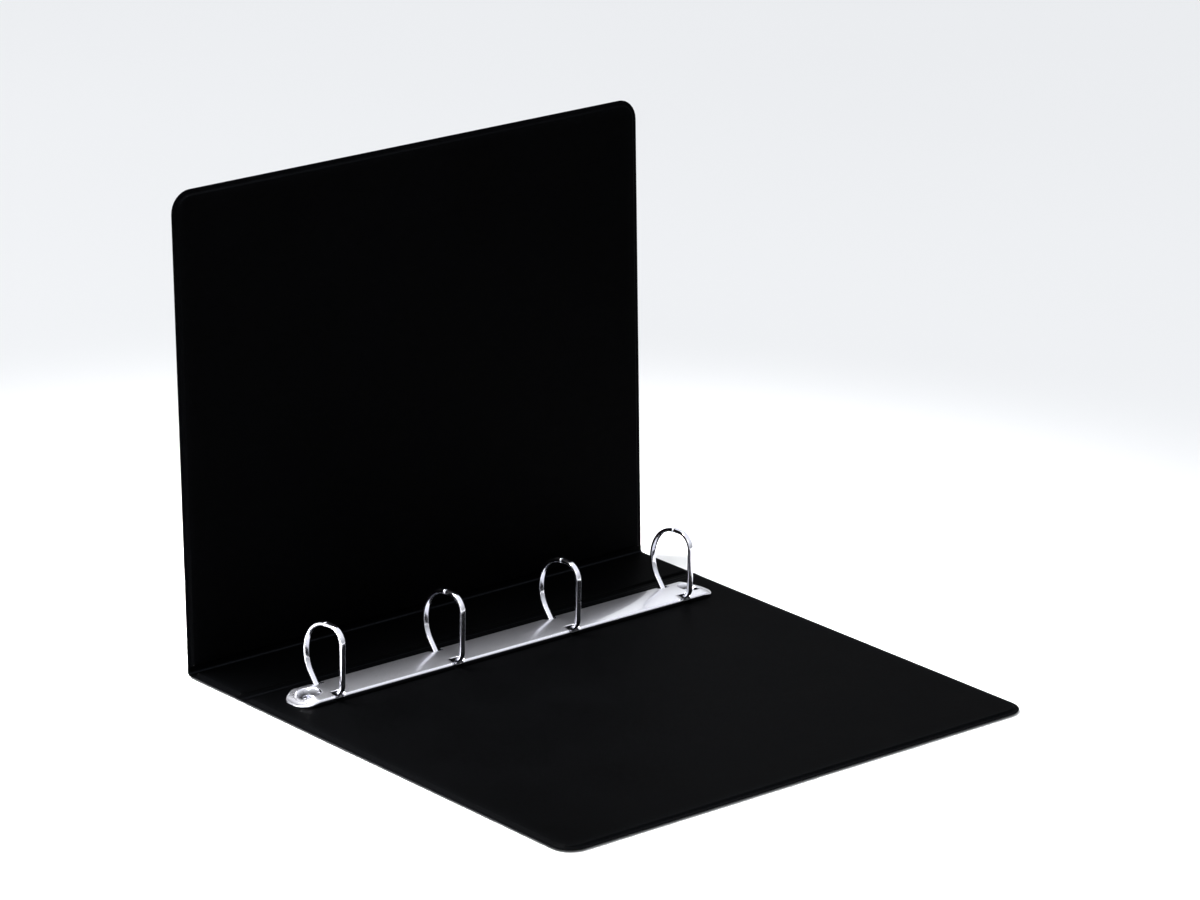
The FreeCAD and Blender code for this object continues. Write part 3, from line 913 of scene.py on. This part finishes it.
def plate_rim(rows, across):
    """(point, outward direction) all round the grid."""
    last = len(rows) - 1
    turns = [(math.cos(angle), math.sin(angle)) for _, _, angle in rows]
    rim = [(i * across + across - 1, turns[i]) for i in range(last + 1)]
    rim += [(last * across + j, (0.0, 1.0)) for j in range(across - 2, 0, -1)]
    rim += [(i * across, (-turns[i][0], turns[i][1])) for i in range(last, -1, -1)]
    rim += [(j, (0.0, -1.0)) for j in range(1, across - 1)]
    return rim


def add_plate_sides(verts, faces, rim):
    """Adds the bend all round the grid, one ring of points for each step, and the walls below it."""
    above = [index for index, _ in rim]
    for step in range(1, BEND_STEPS + 2):
        is_wall = step > BEND_STEPS
        angle = math.pi / 2 * min(step / BEND_STEPS, 1.0)
        ring = []
        for index, (out_x, out_y) in rim:
            top = verts[index]
            full = top.z - PLATE_LOW.z
            down = full if is_wall else min(PLATE_BEND, full * PLATE_BEND_SHARE) * (1 - math.cos(angle))
            out = PLATE_BEND * math.sin(angle)
            ring.append(len(verts))
            verts.append(top + Vector((out_x * out, out_y * out, -down)))
        for n, _ in enumerate(rim):
            m = (n + 1) % len(rim)
            y = (verts[above[n]].y + verts[above[m]].y) / 2
            if not in_notch(y):
                faces.append((above[m], above[n], ring[n], ring[m]))
        above = ring


def make_plate():
    rows = plate_rows()
    right = evenly(0.0, NOTCH_INNER_X, PLATE_COLUMN_STEP)
    right += evenly(NOTCH_INNER_X, PLATE_INNER, NOTCH_COLUMN_STEP) + [PLATE_INNER]
    columns = [-x for x in reversed(right[1:])] + right
    verts, faces = plate_grid(rows, columns)
    add_plate_sides(verts, faces, plate_rim(rows, len(columns)))
    piece = make_object("cover_plate", verts, faces, PLATE_LOOK)
    drop_loose(piece)
    # Painted shade: the mask is full in each rivet's seat and fades out round it
    from_rivet = [math.hypot(v.co.x, abs(v.co.y) - RIVET_Y) for v in piece.data.vertices]
    set_wear_and_painted_light(piece, [1 - smooth(distance, *SEAT_SHADE) for distance in from_rivet])
    thicken(piece, PLATE_SHEET)
    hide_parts("ring_cover_plate")
    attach(piece, "back_cover")


# ---- Parts that keep their CAD meshes ----


def dress_cad_parts():
    """Gives the rivets, blades and boards their materials."""
    for name, node in frame["nodes"].items():
        if name == "mechanism_rivets":
            look = RING_LOOK
        elif name.endswith("_blade"):
            look = BLADE_SHADE_LOOK
        elif name.endswith("_board"):
            look = BOARD_LOOK
        else:
            continue
        node.data.materials.clear()
        node.data.materials.append(look)


# ---- Stage ----


def make_floor():
    corners = [(-FLOOR_HALF, -FLOOR_HALF), (FLOOR_HALF, -FLOOR_HALF), (FLOOR_HALF, FLOOR_HALF),
               (-FLOOR_HALF, FLOOR_HALF)]
    mesh = bpy.data.meshes.new("floor")
    mesh.from_pydata([(x, y, FLOOR_Z) for x, y in corners], [], [(0, 1, 2, 3)])
    mesh.materials.append(floor_look())
    floor = bpy.data.objects.new("floor", mesh)
    bpy.context.scene.collection.objects.link(floor)


def make_light(name, place, target, size, power, spread_deg=180):
    data = bpy.data.lights.new(name, "AREA")
    data.shape = "RECTANGLE"
    data.size, data.size_y = size
    data.energy = power
    data.spread = math.radians(spread_deg)
    light = bpy.data.objects.new(name, data)
    light.location = place
    light.rotation_euler = (Vector(target) - Vector(place)).to_track_quat("-Z", "Y").to_euler()
    bpy.context.scene.collection.objects.link(light)


def make_world():
    """Even studio light from above that falls off towards the horizon."""
    world = bpy.data.worlds.new("studio")
    bpy.context.scene.world = world
    world.use_nodes = True
    tree = world.node_tree
    background = tree.nodes["Background"]
    background.inputs["Color"].default_value = SKY_COLOUR
    direction = tree.nodes.new("ShaderNodeTexCoord")
    parts = tree.nodes.new("ShaderNodeSeparateXYZ")
    strength = tree.nodes.new("ShaderNodeMapRange")
    strength.inputs["From Max"].default_value = SKY_FULL_AT
    strength.inputs["To Min"].default_value = SKY_AT_HORIZON
    strength.inputs["To Max"].default_value = SKY_ABOVE
    tree.links.new(direction.outputs["Generated"], parts.inputs[0])
    tree.links.new(parts.outputs["Z"], strength.inputs["Value"])
    tree.links.new(strength.outputs["Result"], background.inputs["Strength"])


def make_camera():
    """Long lens, looking down onto the open covers from the front right."""
    data = bpy.data.cameras.new("camera")
    data.sensor_width = 36
    data.lens = CAMERA_LENS_MM
    data.clip_start = 0.05
    data.clip_end = 50
    yaw, pitch, roll = (math.radians(a) for a in (CAMERA_YAW_DEG, CAMERA_PITCH_DEG, CAMERA_ROLL_DEG))
    forward = Vector((math.sin(yaw) * math.cos(pitch), math.cos(yaw) * math.cos(pitch), -math.sin(pitch)))
    right = Vector((math.cos(yaw), -math.sin(yaw), 0))
    up = right.cross(forward)
    rolled_right = right * math.cos(roll) + up * math.sin(roll)
    rolled_up = up * math.cos(roll) - right * math.sin(roll)
    axes = Matrix((rolled_right, rolled_up, -forward)).transposed()
    camera = bpy.data.objects.new("camera", data)
    camera.matrix_world = Matrix.Translation(CAMERA_PLACE) @ axes.to_4x4()
    bpy.context.scene.collection.objects.link(camera)
    bpy.context.scene.camera = camera


def make_stage():
    make_floor()
    make_world()
    make_light("key", (1.6, -1.2, 1.8), (0.05, 0, 0), (1.2, 0.9), 10)
    make_light("fill", (-1.2, -1.8, 1.4), (0.05, 0, 0), (1.2, 0.9), 8)
    make_light("top", (-0.30, -0.22, 1.0), (0, -0.08, 0), (0.36, 0.36), 4.2, 50)
    make_camera()
    bpy.context.scene.view_settings.view_transform = "Standard"


# ---- Build ----

BACK, SPINE, FRONT = make_panels()
make_webs(BACK, SPINE)
make_film(SPINE, "spine_pocket_film", SPINE_FILM, 0.0)
make_film(FRONT, "front_pocket_film", FRONT_FILM, FRONT_BULGE)
make_rings()
make_plate()
dress_cad_parts()
make_stage()
